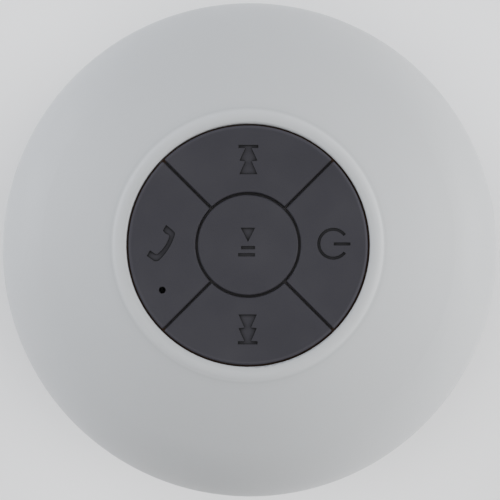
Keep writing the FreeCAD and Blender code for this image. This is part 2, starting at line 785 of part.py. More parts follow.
def make_board():
    disc = rod("board_disc", "board_radius", "board_thick", z="board_top - board_thick")
    cuts = []
    for i in range(4):
        x, y = on_ring("boss_ring", 45 + 90 * i)
        cuts.append(rod(f"board_notch_{i}", "boss_radius + 0.4", "4", x, y, "board_top - 2"))
    for i, (x, y) in enumerate(post_places()):
        cuts.append(rod(f"board_hole_{i}", "1", "4", x, y, "board_top - 2"))
    name_part(cut("main_board", disc, *cuts), "main_board")
    screws = []
    for i, (x, y) in enumerate(post_places()):
        head = rod(f"board_screw_head_{i}", "1.8", "1.1", x, y, "board_top - board_thick - 1.1")
        shank = rod(f"board_screw_shank_{i}", "0.75", "board_thick + 3", x, y, "board_top - board_thick")
        cross = block(f"board_screw_cross_{i}", "2", "0.4", "0.5", x, y, "board_top - board_thick - 1.1")
        screws.append(cut(f"board_screw_{i}", fuse(f"board_screw_whole_{i}", head, shank), cross))
    group("board_screws", screws)


def post_places():
    return [on_ring("post_ring", degrees) for degrees in (30, 150, 270)]


def under_board(name, long, wide, tall, x, y):
    """A component that hangs from the underside of the main board."""
    return block(name, long, wide, tall, x, y, f"board_top - board_thick - ({tall})")


def make_board_parts():
    name_part(under_board("bluetooth_chip", "9", "9", "1.2", "-6", "4"), "bluetooth_chip")
    name_part(under_board("amplifier_chip", "5", "4", "1.3", "7", "-5"), "amplifier_chip")
    name_part(under_board("battery_plug", "4", "6", "1.7", "16", "0"), "battery_plug")
    small = [("crystal", "3.2", "2.5", "0.9", "3", "5"), ("coil", "3", "3", "1.6", "7", "4")]
    for i in range(4):
        small.append((f"capacitor_{i}", "1.6", "0.8", "0.8", f"{-10 + 3 * i}", "-4"))
        small.append((f"resistor_{i}", "1", "0.5", "0.4", f"{-10 + 2.5 * i}", "-7"))
    small.append(("diode", "2.6", "1.6", "1.1", "10", "9"))
    group("board_components", [under_board(*item) for item in small])
    lens = rod("status_light", "1", "1.6", "6.6", "6.6", "board_top")
    name_part(lens, "status_light")
    boot = rod("mic_boot_block", "2.9", "4.6", "-mic_out", "-mic_side", "board_top")
    bore = rod("mic_boot_bore", "2.3", "3", "-mic_out", "-mic_side", "board_top")
    duct = rod("mic_boot_duct", "0.7", "3", "-mic_out", "-mic_side", "board_top + 2.5")
    name_part(cut("microphone_boot", boot, bore, duct), "microphone_boot")
    can = rod("mic_can", "2.25", "2.6", "-mic_out", "-mic_side", "board_top")
    port = rod("mic_port", "0.5", "0.5", "-mic_out", "-mic_side", "board_top + 2.3")
    name_part(cut("microphone", can, port), "microphone")


def make_battery():
    cell = block("battery", "battery_long", "battery_wide", "battery_thick", z="battery_foot")
    name_part(cell, "battery")
    pad = block("battery_pad", "16", "16", "battery_foot - yoke_top", z="yoke_top")
    name_part(pad, "battery_pad")


def tube(name, points):
    """A round wire along straight runs, joined by tangent arcs."""
    radius = value("lead_radius")
    corners = [FreeCAD.Vector(*[value(number) for number in point]) for point in points]
    edges, here, length = [], corners[0], 0.0
    for before, bend, after in zip(corners, corners[1:], corners[2:]):
        back, ahead = (before - bend).normalize(), (after - bend).normalize()
        half = (math.pi - back.getAngle(ahead)) / 2
        shorter = min(before.distanceToPoint(bend), bend.distanceToPoint(after))
        reach = 0.45 * shorter
        bow = reach / math.tan(half)
        start, stop = bend + back * reach, bend + ahead * reach
        middle = (back + ahead).normalize()
        crest = bend + middle * (bow / math.cos(half) - bow)
        edges.append(Part.LineSegment(here, start).toShape())
        edges.append(Part.Arc(start, crest, stop).toShape())
        here = stop
    edges.append(Part.LineSegment(here, corners[-1]).toShape())
    path = Part.Wire(edges)
    section = Part.Wire([Part.Circle(corners[0], corners[1] - corners[0], radius).toShape()])
    solid = path.makePipeShell([section], True, False, 2)
    expected = math.pi * radius**2 * path.Length
    if abs(solid.Volume / expected - 1) > 0.01:
        raise RuntimeError(f"{name}: the tube's volume isn't its section times its length")
    wire = doc.addObject("Part::Feature", name)
    wire.Shape = solid
    return wire


def make_leads():
    """Pairs of insulated wires inside the case."""
    sides = ("-1.2", "1.2")
    runs = {
        "battery_leads": [("17.5", "40.8"), ("20.2", "40.8"), ("20.2", "44.4"), ("18", "44.4")],
        "usb_leads": [
            (port_x("-13", "-1.8"), port_z("-13", "-1.8")),
            (port_x("-20", "-1.8"), port_z("-20", "-1.8")),
            (port_x("-20", "-1.8"), "board_top - board_thick"),
        ],
    }
    for label, run in runs.items():
        routes = [[(x, y, z) for x, z in run] for y in sides]
        group(label, [tube(f"{label}_{i}", route) for i, route in enumerate(routes)])
    run = [("-16.6", "32"), ("-20.6", "32"), ("-20.6", "board_top - board_thick")]
    routes = [[(x, y, z) for y, z in run] for x in ("8.6", "11")]
    group("speaker_leads", [tube(f"speaker_leads_{i}", route) for i, route in enumerate(routes)])


# ---------------------------------------------------------------- loudspeaker


def make_baffle():
    body = turned_ring("speaker_baffle", "baffle_in", "baffle_out", "baffle_foot", "baffle_top")
    hole = draw_circle(new_sketch(body, z="baffle_foot"), "screw_bore", *on_ring("boss_ring", 45))
    repeat(body, sink(body, hole, "baffle_top - baffle_foot", upward=True), "4")
    cloth = [("base_foot + 2.8", "cover_wall + 0.05"), ("baffle_foot - 0.2", "cover_wall + 0.05")]
    cloth += [("baffle_foot - 0.2", "cover_wall + 0.35"), ("base_foot + 2.8", "cover_wall + 0.35")]
    turned("grille_cloth", [(cone_reach(height, depth), height) for height, depth in cloth])


def make_driver():
    front = "driver_front"
    turned_ring("driver_gasket", "baffle_in", "driver_radius", "baffle_top", front)
    basket = turned(
        "driver_basket",
        [
            ("18", front),
            ("driver_radius", front),
            ("driver_radius", f"{front} + 1"),
            ("19.6", f"{front} + 1"),
            ("15", f"{front} + 8.2"),
            ("8", f"{front} + 8.2"),
            ("8", f"{front} + 7.2"),
            ("14.3", f"{front} + 7.2"),
            ("18.7", f"{front} + 1"),
            ("18", f"{front} + 1"),
        ],
    )
    window = new_sketch(basket, z=f"{front} + 1.8")
    draw(window, [("10", "-5"), ("22", "-5"), ("22", "5"), ("10", "5")])
    repeat(basket, sink(basket, window, "4.6", upward=True), "4")
    turned_ring("driver_plate", "pole_radius + 1", "yoke_radius", "plate_foot", "plate_top")
    turned_ring("driver_magnet", "pole_radius + 2", "yoke_radius + 0.5", "plate_top", "magnet_top")
    turned(
        "driver_yoke",
        [
            ("0", "plate_foot"),
            ("pole_radius", "plate_foot"),
            ("pole_radius", "magnet_top"),
            ("yoke_radius", "magnet_top"),
            ("yoke_radius", "yoke_top"),
            ("0", "yoke_top"),
        ],
    )
    turned_ring("voice_coil", "coil_in", "coil_out", "coil_foot", "coil_top")
    turned(
        "driver_cone",
        [
            ("cone_in", "coil_foot"),
            ("cone_edge - 0.6", "cone_foot"),
            ("cone_edge", "cone_foot"),
            ("cone_edge", "cone_foot + 0.4"),
            ("cone_edge - 0.5", "cone_foot + 0.4"),
            ("cone_in", "coil_foot + 0.45"),
        ],
    )
    turned(
        "dust_cap",
        [("0", "25.9", "left", "13.9"), ("7.2", "27.9"), ("6.7", "27.95", "right", "13.6"), ("0", "26.2")],
    )
    turned(
        "driver_surround",
        [
            ("16.2", "cone_foot + 0.4"),
            ("16.7", "cone_foot + 0.4", "right", "0.55"),
            ("17.7", "cone_foot + 0.4"),
            ("17.7", "driver_front + 1"),
            ("18.4", "driver_front + 1"),
            ("18.4", "driver_front + 1.3"),
            ("18.05", "driver_front + 1.3", "left", "0.9"),
            ("16.35", "cone_foot + 0.7"),
            ("16.2", "cone_foot + 0.7"),
        ],
    )
    under = [("8", "29.6"), ("9", "29.1"), ("10", "29.9"), ("11", "29.3"), ("12", "30.2"), ("13.6", "30.2")]
    over = [("13.6", "30.5"), ("11.9", "30.5"), ("11", "29.6"), ("10", "30.2"), ("9", "29.4"), ("8", "29.9")]
    turned("driver_spider", [("cone_in", "29.6"), *under, *over, ("cone_in", "29.9")])
    name_part(block("driver_terminal", "6", "3.4", "1", "9.8", "-14.9", "31.5"), "driver_terminal")


# ---------------------------------------------------------------- charging port


def in_port(label):
    """A body whose own axes are the port's: x up along the cone, y round the body, z outwards."""
    return place(new_body(label), port_x("0"), "0", port_z("0"), turn=PORT_TILT, axis=(0, 1, 0))


def make_port():
    flap = in_port("usb_flap")
    raise_pad(flap, draw_slab(new_sketch(flap, x="-0.6", z="-0.95"), "5.2", "11.2", "1.8"), "0.95")
    raise_pad(flap, draw_slab(new_sketch(flap, z="-1.9"), "2.6", "7.6", "0.8"), "1.2")
    bead = new_sketch(flap, "XZ_Plane", z="-3.4")
    raise_pad(flap, draw_circle(bead, "0.3", "2.2", "-0.3"), "6.8")
    anchor = in_port("flap_anchor")
    raise_pad(anchor, draw_slab(new_sketch(anchor, x="3.05", z="-1"), "0.7", "7", "0.3"), "0.95")
    shell = in_port("usb_socket")
    raise_pad(shell, draw_slab(new_sketch(shell, z="-7.9"), "2.6", "7.5", "0.6"), "5.5")
    sink(shell, draw_slab(new_sketch(shell, z="-2.4"), "2", "6.9", "0.4"), "4.8")
    raise_pad(shell, draw_slab(new_sketch(shell, x="0.25", z="-7.4"), "0.6", "4", "0.1"), "4.4")
    board = in_port("usb_board")
    sketch = new_sketch(board, x="-1.8", z="-13")
    draw(sketch, [("-0.5", "-7"), ("0.5", "-7"), ("0.5", "7"), ("-0.5", "7")])
    raise_pad(board, sketch, "10")


# ---------------------------------------------------------------- fasteners


def make_case_screws():
    screws = []
    for i in range(4):
        x, y = on_ring("boss_ring", 45 + 90 * i)
        foot = "base_foot + recess_deep - head_tall"
        head = rod(f"case_screw_head_{i}", "screw_head", "head_tall", x, y, foot)
        shank = rod(f"case_screw_shank_{i}", "1.25", "14", x, y, "base_foot + recess_deep")
        along = block(f"case_screw_cross_{i}_0", "2.6", "0.6", "0.9", x, y, foot)
        across = block(f"case_screw_cross_{i}_1", "0.6", "2.6", "0.9", x, y, foot)
        screws.append(cut(f"case_screw_{i}", fuse(f"case_screw_whole_{i}", head, shank), along, across))
    group("case_screws", screws)


# ---------------------------------------------------------------- build


def check_and_write():
    doc.recompute()
    for item in doc.Objects:
        if "Invalid" in item.State or "Error" in item.State:
            raise RuntimeError(f"{item.Label}: {item.State}")
    os.makedirs("parts", exist_ok=True)
    for item in parts:
        shape = item.Shape
        if shape.isNull() or not shape.isValid() or not shape.Solids:
            raise RuntimeError(f"{item.Label}: the shape isn't valid")
        box = shape.BoundBox
        heights = f"z {box.ZMin:.2f} {box.ZMax:.2f}"
        print(f"{item.Label:18} {shape.Volume:9.1f} mm3  solids {len(shape.Solids)}  {heights}")
        shape.exportStep(f"parts/{item.Label}.step")


make_front_skin()
make_front_shell()
make_rear_cover()
make_seal_ring()
make_suction_cup()
make_keypad()
make_switches()
make_board()
make_board_parts()
make_battery()
make_leads()
make_baffle()
make_driver()
make_port()
make_case_screws()
check_and_write()
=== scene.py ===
import math

import bmesh
import bpy
from mathutils import Matrix, Vector


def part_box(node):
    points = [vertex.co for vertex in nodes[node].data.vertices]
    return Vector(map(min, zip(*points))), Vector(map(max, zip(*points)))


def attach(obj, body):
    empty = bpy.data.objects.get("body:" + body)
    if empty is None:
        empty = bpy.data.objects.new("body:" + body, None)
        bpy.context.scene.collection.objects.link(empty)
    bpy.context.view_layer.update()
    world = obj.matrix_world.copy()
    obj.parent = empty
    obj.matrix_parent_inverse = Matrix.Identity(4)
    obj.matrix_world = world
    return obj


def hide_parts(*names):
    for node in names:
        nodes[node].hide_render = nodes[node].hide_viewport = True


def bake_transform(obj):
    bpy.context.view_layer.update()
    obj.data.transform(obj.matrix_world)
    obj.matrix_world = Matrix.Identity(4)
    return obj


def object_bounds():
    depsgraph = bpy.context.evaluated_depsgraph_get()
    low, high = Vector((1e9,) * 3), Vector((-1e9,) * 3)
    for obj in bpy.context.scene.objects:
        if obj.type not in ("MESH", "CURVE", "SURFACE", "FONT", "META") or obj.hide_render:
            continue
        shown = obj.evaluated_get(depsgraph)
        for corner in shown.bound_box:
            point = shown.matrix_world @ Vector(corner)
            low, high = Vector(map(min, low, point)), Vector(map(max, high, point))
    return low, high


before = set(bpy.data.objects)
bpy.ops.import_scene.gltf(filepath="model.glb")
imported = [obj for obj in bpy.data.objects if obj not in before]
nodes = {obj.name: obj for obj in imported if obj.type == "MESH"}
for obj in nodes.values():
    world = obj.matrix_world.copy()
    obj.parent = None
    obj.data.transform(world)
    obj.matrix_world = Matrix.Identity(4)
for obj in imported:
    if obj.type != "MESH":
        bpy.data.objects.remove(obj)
cad_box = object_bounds()
MM = 0.001

# Sockets of a Mix node that mixes colours.
MIX_FACTOR, MIX_FIRST, MIX_SECOND = 0, 6, 7
MIX_RESULT = 2


# ---------------------------------------------------------------- materials


class Nodes:
    """A material's node tree, with short ways to add nodes and link them."""

    def __init__(self, name):
        self.material = bpy.data.materials.new(name)
        self.material.use_nodes = True
        self.tree = self.material.node_tree
        self.shader = self.tree.nodes["Principled BSDF"]
        self.place = self.add("ShaderNodeTexCoord").outputs["Object"]

    def add(self, kind, **settings):
        node = self.tree.nodes.new(kind)
        for key, value in settings.items():
            setattr(node, key, value)
        return node

    def link(self, source, target):
        self.tree.links.new(source, target)

    def set(self, **values):
        """Sets constants on the shader; an underscore in a name stands for a space."""
        for key, value in values.items():
            self.shader.inputs[key.replace("_", " ")].default_value = value

    def noise(self, scale, detail=3.0, roughness=0.5, stretch=None):
        """Noise from 0 to 1. scale is how many grains there are in a metre."""
        node = self.add("ShaderNodeTexNoise")
        node.inputs["Scale"].default_value = scale
        node.inputs["Detail"].default_value = detail
        node.inputs["Roughness"].default_value = roughness
        source = self.place
        if stretch:
            mapping = self.add("ShaderNodeMapping")
            mapping.inputs["Scale"].default_value = stretch
            self.link(self.place, mapping.inputs["Vector"])
            source = mapping.outputs["Vector"]
        self.link(source, node.inputs["Vector"])
        return node.outputs["Fac"]

    def spread(self, source, low, high, from_low=0.3, from_high=0.7):
        """The source's range from from_low to from_high, spread from low to high and held at its ends."""
        node = self.add("ShaderNodeMapRange")
        ends = {"From Min": from_low, "From Max": from_high, "To Min": low, "To Max": high}
        for key, value in ends.items():
            node.inputs[key].default_value = value
        self.link(source, node.inputs["Value"])
        return node.outputs["Result"]

    def mix(self, factor, first, second, blend="MIX"):
        """Mixes two colours, each a tuple or an output of another node."""
        node = self.add("ShaderNodeMix", data_type="RGBA", blend_type=blend)
        for number, value in ((MIX_FACTOR, factor), (MIX_FIRST, first), (MIX_SECOND, second)):
            if isinstance(value, float):
                node.inputs[number].default_value = value
            elif isinstance(value, tuple):
                node.inputs[number].default_value = (*value, 1.0)
            else:
                self.link(value, node.inputs[number])
        return node.outputs[MIX_RESULT]

    def bump(self, height, depth, strength=1.0, below=None):
        """Relief of a depth in metres, on top of the normal below it."""
        node = self.add("ShaderNodeBump")
        node.inputs["Distance"].default_value = depth
        node.inputs["Strength"].default_value = strength
        self.link(height, node.inputs["Height"])
        if below is not None:
            self.link(below, node.inputs["Normal"])
        return node.outputs["Normal"]

    def openness(self, reach):
        """1 on an open surface, 0 deep in a gap; reach is how far away a wall counts."""
        node = self.add("ShaderNodeAmbientOcclusion", samples=12, only_local=True)
        node.inputs["Distance"].default_value = reach
        return self.spread(node.outputs["AO"], 0.0, 1.0, 0.55, 0.98)

    def from_axis(self):
        """Distance from the object's own axis, in metres."""
        level = self.add("ShaderNodeVectorMath", operation="MULTIPLY")
        self.link(self.place, level.inputs[0])
        level.inputs[1].default_value = (1, 1, 0)
        length = self.add("ShaderNodeVectorMath", operation="LENGTH")
        self.link(level.outputs["Vector"], length.inputs[0])
        return length.outputs["Value"]

    def ramp(self, source, first, last, stops):
        """A grey that follows stops of (source value, grey) between the first and the last value."""
        node = self.add("ShaderNodeValToRGB")
        points = node.color_ramp.elements
        while len(points) < len(stops):
            points.new(0.5)
        for point, (value, grey) in zip(points, stops):
            point.position = (value - first) / (last - first)
            point.color = (grey, grey, grey, 1)
        self.link(self.spread(source, 0.0, 1.0, first, last), node.inputs["Fac"])
        return node.outputs["Color"]

    def soft_edge(self, radius):
        """A normal that runs round the edges as if they had that radius."""
        node = self.add("ShaderNodeBevel", samples=6)
        node.inputs["Radius"].default_value = radius
        return node.outputs["Normal"]

    def wave(self, scale, axis, distortion=0.0):
        """Stripes across an axis. scale is how many there are in a metre."""
        node = self.add("ShaderNodeTexWave", bands_direction=axis)
        node.inputs["Scale"].default_value = scale / 20 * math.tau
        node.inputs["Distortion"].default_value = distortion
        self.link(self.place, node.inputs["Vector"])
        return node.outputs["Fac"]

    def cells(self, scale, metric="EUCLIDEAN"):
        """Distance from the nearest of scattered points. scale is how many there are along a metre."""
        node = self.add("ShaderNodeTexVoronoi", distance=metric)
        node.inputs["Scale"].default_value = scale
        self.link(self.place, node.inputs["Vector"])
        return node.outputs["Distance"]

    def combine(self, operation, first, second):
        node = self.add("ShaderNodeMath", operation=operation)
        self.link(first, node.inputs[0])
        self.link(second, node.inputs[1])
        return node.outputs[0]

    def moulded(self, grain=9000, depth=0.00002, below=None):
        """The normal of a soft moulded surface: fine grain over broad, shallow waves."""
        fine = self.bump(self.noise(grain, 2), depth, 0.5, below)
        return self.bump(self.noise(160, 2), 0.00004, 0.35, fine)

    def clouded(self, colour, variation, speckled):
        """A colour with soft clouds a little darker and paler than it, and scattered darker specks."""
        clouds = self.spread(self.noise(38, 4), 0.0, 1.0)
        cloud = self.mix(clouds, shade(colour, 1 - variation), shade(colour, 1 + variation))
        specks = self.spread(self.noise(2600, 2), 0.0, 0.5, 0.62, 0.72)
        return self.mix(specks, cloud, shade(colour, 1 - speckled))

    def finish(self, colour, roughness, normal):
        self.link(colour, self.shader.inputs["Base Color"])
        self.link(roughness, self.shader.inputs["Roughness"])
        self.link(normal, self.shader.inputs["Normal"])
        return self.material


def shade(colour, factor):
    """The colour, darker or paler by a factor."""
    return tuple(channel * factor for channel in colour)


def rubber(name, colour, variation=0.04, rough=(0.5, 0.6), subsurface=0.0):
    """Silicone or rubber: a cloudy colour, fine moulded grain and a patchy matte."""
    m = Nodes(name)
    tone = m.clouded(colour, variation, 3 * variation)
    m.set(Subsurface_Weight=subsurface, Subsurface_Radius=(1.0, 0.9, 0.8), Subsurface_Scale=0.0012)
    m.set(Specular_IOR_Level=0.4)
    return m.finish(tone, m.spread(m.noise(120, 4), *rough), m.moulded())


def key_rubber():
    """Dark grey rubber, with painted shade in its corners and narrow gaps, a painted highlight at the
    keypad's outer rim, and very slightly rounded edges."""
    m = Nodes("key_rubber")
    grey = (0.0254, 0.0243, 0.0291)
    # painted highlight: the keypad's outer rim is made paler, standing in for light caught on its rounded
    # edge
    rim = m.spread(m.from_axis(), 0.0, 1.0, 19.7 * MM, 20.2 * MM)
    with_painted_rim_highlight = m.mix(rim, m.clouded(grey, 0.04, 0.12), shade(grey, 1.7))
    # painted shade: the colour is darkened in corners, recesses and narrow gaps, where nearby walls would
    # shade it
    with_painted_shade = m.mix(m.openness(0.7 * MM), shade(grey, 0.12), with_painted_rim_highlight)
    normal = m.moulded(7000, 0.00003, m.soft_edge(0.08 * MM))
    m.set(Specular_IOR_Level=0.13)
    return m.finish(with_painted_shade, m.spread(m.noise(120, 4), 0.55, 0.68), normal)


def membrane_rubber():
    """Near-black rubber, a little browner under the keypad's outer edge."""
    m = Nodes("membrane_rubber")
    beside_collar = m.spread(m.from_axis(), 0.0, 1.0, 19.6 * MM, 20.2 * MM)
    tone = m.mix(beside_collar, (0.042, 0.04, 0.042), (0.05, 0.032, 0.022))
    speck = m.mix(m.spread(m.noise(2600, 2), 0.0, 0.5, 0.62, 0.72), tone, (0.03, 0.028, 0.028))
    m.set(Specular_IOR_Level=0.1)
    return m.finish(speck, m.spread(m.noise(120, 4), 0.65, 0.8), m.bump(m.noise(9000, 2), 0.00002, 0.5))


def skin_silicone():
    """Light grey silicone, with a painted highlight on the collar's thick outer edge, and painted shade on
    its inner slope beside the keypad and in the crease just outside it.
    """
    m = Nodes("skin_silicone")
    rings = [  # distance from the axis in mm, and how much of the silicone's colour shows there under the painted shade and highlight
        (20.0, 0.70),
        (20.8, 0.75),
        (21.3, 0.84),
        (22.0, 0.93),
        (22.6, 1.0),
        (22.9, 0.98),
        (23.3, 0.8),
        (23.7, 0.87),
        (24.6, 0.9),
    ]
    # painted shade and highlight: the ring table darkens and brightens the silicone by distance from the axis
    tone = m.ramp(m.from_axis(), 20 * MM, 25 * MM, [(distance * MM, share) for distance, share in rings])
    colour = m.mix(1.0, m.clouded((0.444, 0.457, 0.466), 0.01, 0.05), tone, "MULTIPLY")
    m.set(Subsurface_Weight=0.25, Subsurface_Radius=(1.0, 0.9, 0.8), Subsurface_Scale=0.0012)
    m.set(Sheen_Weight=0.08, Sheen_Roughness=0.5, Specular_IOR_Level=0.4)
    return m.finish(colour, m.spread(m.noise(120, 4), 0.5, 0.6), m.moulded())


def plastic(name, colour, rough=(0.35, 0.45), variation=0.02):
    """Moulded plastic: faint clouds and specks, fine spark-eroded grain and soft flow marks."""
    m = Nodes(name)
    paler, darker = shade(colour, 1 + variation), shade(colour, 1 - variation)
    cloud = m.mix(m.spread(m.noise(60, 3), 0.0, 1.0), darker, paler)
    speck = m.mix(m.spread(m.noise(1500, 1), 0.0, 0.4, 0.66, 0.74), cloud, shade(colour, 1 - 4 * variation))
    flow = m.bump(m.noise(90, 1, stretch=(1, 1, 0.3)), 0.00003, 0.3)
    fine = m.bump(m.noise(7000, 2), 0.000012, 0.6, flow)
    m.set(Specular_IOR_Level=0.5)
    return m.finish(speck, m.spread(m.noise(200, 4), *rough), fine)


def metal(name, colour, rough=(0.25, 0.4)):
    """Plated steel: stained in patches and brushed across Z."""
    m = Nodes(name)
    stain = m.mix(m.spread(m.noise(180, 4), 0.0, 1.0), shade(colour, 0.88), colour)
    brush = m.bump(m.noise(400, 2, stretch=(1, 1, 40)), 0.00001, 0.5)
    m.set(Metallic=1.0)
    return m.finish(stain, m.spread(m.noise(900, 3), *rough), brush)


def cup_silicone():
    """Milky silicone that light sinks into: a satin skin with faint flow clouds from the mould."""
    m = Nodes("cup_silicone")
    cloud = m.mix(m.spread(m.noise(30, 2), 0.0, 1.0), (0.6, 0.625, 0.64), (0.65, 0.67, 0.68))
    rough = m.spread(m.noise(240, 4), 0.28, 0.38)
    flow = m.bump(m.noise(90, 2), 0.00003, 0.2)
    normal = m.bump(m.noise(5000, 2), 0.00001, 0.4, flow)
    m.set(Subsurface_Weight=0.9, Subsurface_Radius=(0.95, 1.0, 1.05), Subsurface_Scale=0.005)
    m.set(IOR=1.41, Specular_IOR_Level=0.5, Coat_Weight=0.25, Coat_Roughness=0.2)
    return m.finish(cloud, rough, normal)


def board_laminate():
    """Green solder mask over copper tracks, with bare tinned pads here and there."""
    m = Nodes("board_laminate")
    across = m.wave(900, "X", distortion=2.0)
    along = m.wave(900, "Y", distortion=2.0)
    islands = m.cells(260, metric="CHEBYCHEV")
    tracks = m.mix(m.spread(islands, 0.0, 1.0, 0.45, 0.46), across, along)
    track = m.spread(tracks, 0.0, 1.0, 0.6, 0.66)
    mask = m.mix(track, (0.008, 0.075, 0.03), (0.02, 0.16, 0.065))
    pads = m.spread(m.cells(420), 1.0, 0.0, 0.14, 0.16)
    colour = m.mix(pads, mask, (0.62, 0.62, 0.6))
    m.set(Coat_Weight=0.4, Coat_Roughness=0.15)
    return m.finish(colour, m.spread(m.noise(900), 0.3, 0.42), m.bump(track, 0.00003, 0.6))


def winding():
    """Enamelled copper wire, wound turn beside turn."""
    m = Nodes("copper_winding")
    colour = m.mix(m.spread(m.noise(700, 3), 0.0, 1.0), (0.62, 0.24, 0.08), (0.8, 0.36, 0.14))
    m.set(Metallic=0.9, Coat_Weight=0.6, Coat_Roughness=0.12)
    return m.finish(colour, m.spread(m.noise(900), 0.2, 0.32), m.bump(m.wave(6500, "Z"), 0.00005, 0.9))


def woven(name, colour, threads):
    """Open cloth: over-and-under threads in two directions."""
    m = Nodes(name)
    warp, weft = m.wave(threads, "X"), m.wave(threads, "Y")
    rise = m.combine("MAXIMUM", warp, weft)
    gap = m.combine("MULTIPLY", warp, weft)
    tone = m.mix(gap, shade(colour, 0.5), shade(colour, 1.4))
    fluff = m.mix(m.spread(m.noise(4000, 3), 0.0, 0.5), tone, shade(colour, 1.8))
    m.set(Sheen_Weight=0.4, Sheen_Roughness=0.6)
    return m.finish(fluff, m.spread(m.noise(1200), 0.8, 0.95), m.bump(rise, 0.00008, 0.9))


def pressed_paper():
    """Black pulp of matted fibres."""
    m = Nodes("pressed_paper")
    fibres = m.noise(2600, 5, 0.7, stretch=(1, 1, 0.4))
    colour = m.mix(m.spread(fibres, 0.0, 1.0), (0.008, 0.008, 0.009), (0.035, 0.034, 0.033))
    return m.finish(colour, m.spread(m.noise(500), 0.75, 0.92), m.bump(fibres, 0.00006, 0.8))


def foam():
    """Black open-cell foam."""
    m = Nodes("black_foam")
    pores = m.cells(2600)
    colour = m.mix(m.spread(pores, 0.0, 1.0, 0.1, 0.6), (0.004, 0.004, 0.004), (0.03, 0.03, 0.03))
    return m.finish(colour, m.spread(m.noise(600), 0.85, 0.98), m.bump(pores, 0.0002, 0.8))


def pouch():
    """The battery's laminated foil: soft creases under a satin film."""
    m = Nodes("battery_pouch")
    creases = m.noise(130, 5, 0.6)
    colour = m.mix(m.spread(creases, 0.0, 1.0), (0.5, 0.51, 0.52), (0.68, 0.69, 0.7))
    m.set(Metallic=0.85, Coat_Weight=0.3, Coat_Roughness=0.3)
    return m.finish(colour, m.spread(m.noise(400), 0.28, 0.42), m.bump(creases, 0.0003, 0.5))


def ferrite():
    """Gritty dark ceramic magnet, with small paler chips."""
    m = Nodes("ferrite")
    grit = m.noise(3000, 4)
    body = m.mix(m.spread(grit, 0.0, 1.0), (0.012, 0.012, 0.013), (0.04, 0.04, 0.042))
    colour = m.mix(m.spread(m.cells(500), 0.0, 1.0, 0.05, 0.3), (0.06, 0.06, 0.062), body)
    return m.finish(colour, m.spread(grit, 0.55, 0.75), m.bump(grit, 0.00004, 0.7))


def lens():
    """Clear, slightly blue cap of the status light."""
    m = Nodes("light_lens")
    colour = m.mix(m.spread(m.noise(900), 0.0, 1.0), (0.78, 0.86, 0.95), (0.86, 0.92, 1.0))
    m.set(Transmission_Weight=0.8, IOR=1.5)
    return m.finish(colour, m.spread(m.noise(1200), 0.05, 0.12), m.bump(m.noise(800), 0.00001, 0.3))


SKIN = skin_silicone()
KEYS = key_rubber()
MEMBRANE = membrane_rubber()
BLACK = rubber("black_rubber", (0.012, 0.012, 0.012), 0.08, (0.5, 0.65))
FLAP = rubber("flap_rubber", (0.38, 0.39, 0.40), 0.03, (0.5, 0.6), subsurface=0.2)
CERAMIC = plastic("tan_ceramic", (0.42, 0.3, 0.19), (0.45, 0.6), variation=0.05)
FERRITE = ferrite()
RED = rubber("red_insulation", (0.45, 0.02, 0.015), 0.05, (0.35, 0.45))
COVER = plastic("cover_plastic", (0.43, 0.44, 0.45))
SHELL = plastic("shell_plastic", (0.6, 0.6, 0.58), (0.3, 0.4))
NYLON = plastic("white_nylon", (0.62, 0.6, 0.55), (0.4, 0.5))
BLACK_PLASTIC = plastic("black_plastic", (0.012, 0.012, 0.013), (0.4, 0.55), variation=0.08)
STEEL = metal("zinc_steel", (0.62, 0.63, 0.65))
TIN = metal("tinned_steel", (0.7, 0.7, 0.68), (0.2, 0.34))
BLACK_STEEL = plastic("black_steel", (0.014, 0.014, 0.015), (0.3, 0.42), variation=0.06)
CUP = cup_silicone()
BOARD = board_laminate()
CLOTH = woven("grille_weave", (0.01, 0.01, 0.01), 3200)
SPIDER = woven("spider_weave", (0.32, 0.2, 0.06), 2400)
PAPER = pressed_paper()
FOAM = foam()

MATERIALS = {
    "front_skin": SKIN,
    "front_shell": SHELL,
    "rear_cover": COVER,
    "speaker_baffle": SHELL,
    "keypad_membrane": MEMBRANE,
    "usb_flap": FLAP,
    "flap_anchor": FLAP,
    "suction_cup": CUP,
    "case_screws": STEEL,
    "board_screws": STEEL,
    "main_board": BOARD,
    "usb_board": BOARD,
    "driver_terminal": BOARD,
    "bluetooth_chip": TIN,
    "usb_socket": TIN,
    "microphone": BLACK,
    "amplifier_chip": BLACK_PLASTIC,
    "board_components": BLACK_PLASTIC,
    "battery_plug": NYLON,
    "status_light": lens(),
    "battery": pouch(),
    "battery_pad": FOAM,
    "driver_gasket": FOAM,
    "battery_leads": RED,
    "usb_leads": RED,
    "speaker_leads": RED,
    "grille_cloth": CLOTH,
    "driver_basket": BLACK_STEEL,
    "driver_plate": STEEL,
    "driver_yoke": STEEL,
    "driver_magnet": FERRITE,
    "voice_coil": winding(),
    "driver_cone": PAPER,
    "dust_cap": PAPER,
    "driver_spider": SPIDER,
}
for name in nodes:
    if name.startswith("key_"):
        MATERIALS[name] = KEYS
    if name.startswith("switch_"):
        MATERIALS[name] = BLACK_PLASTIC
    if name.startswith("plunger_"):
        MATERIALS[name] = NYLON
for name, node in nodes.items():
    node.data.materials.clear()
    node.data.materials.append(MATERIALS.get(name, BLACK))
    node.data.set_sharp_from_angle(angle=math.radians(35))
    for polygon in node.data.polygons:
        polygon.use_smooth = True


# ---------------------------------------------------------------- wires, legs and surround


def loose_parts(mesh):
    """The separate pieces of a mesh, as lists of its polygons. Vertices at one place count as one."""
    owner = {}

    def top(key):
        while owner.setdefault(key, key) != key:
            key = owner[key]
        return key

    spots = [tuple(round(number / MM, 3) for number in vertex.co) for vertex in mesh.vertices]
    for polygon in mesh.polygons:
        first = top(spots[polygon.vertices[0]])
        for index in polygon.vertices[1:]:
            owner[top(spots[index])] = first
    pieces = {}
    for polygon in mesh.polygons:
        pieces.setdefault(top(spots[polygon.vertices[0]]), []).append(polygon)
    return list(pieces.values())


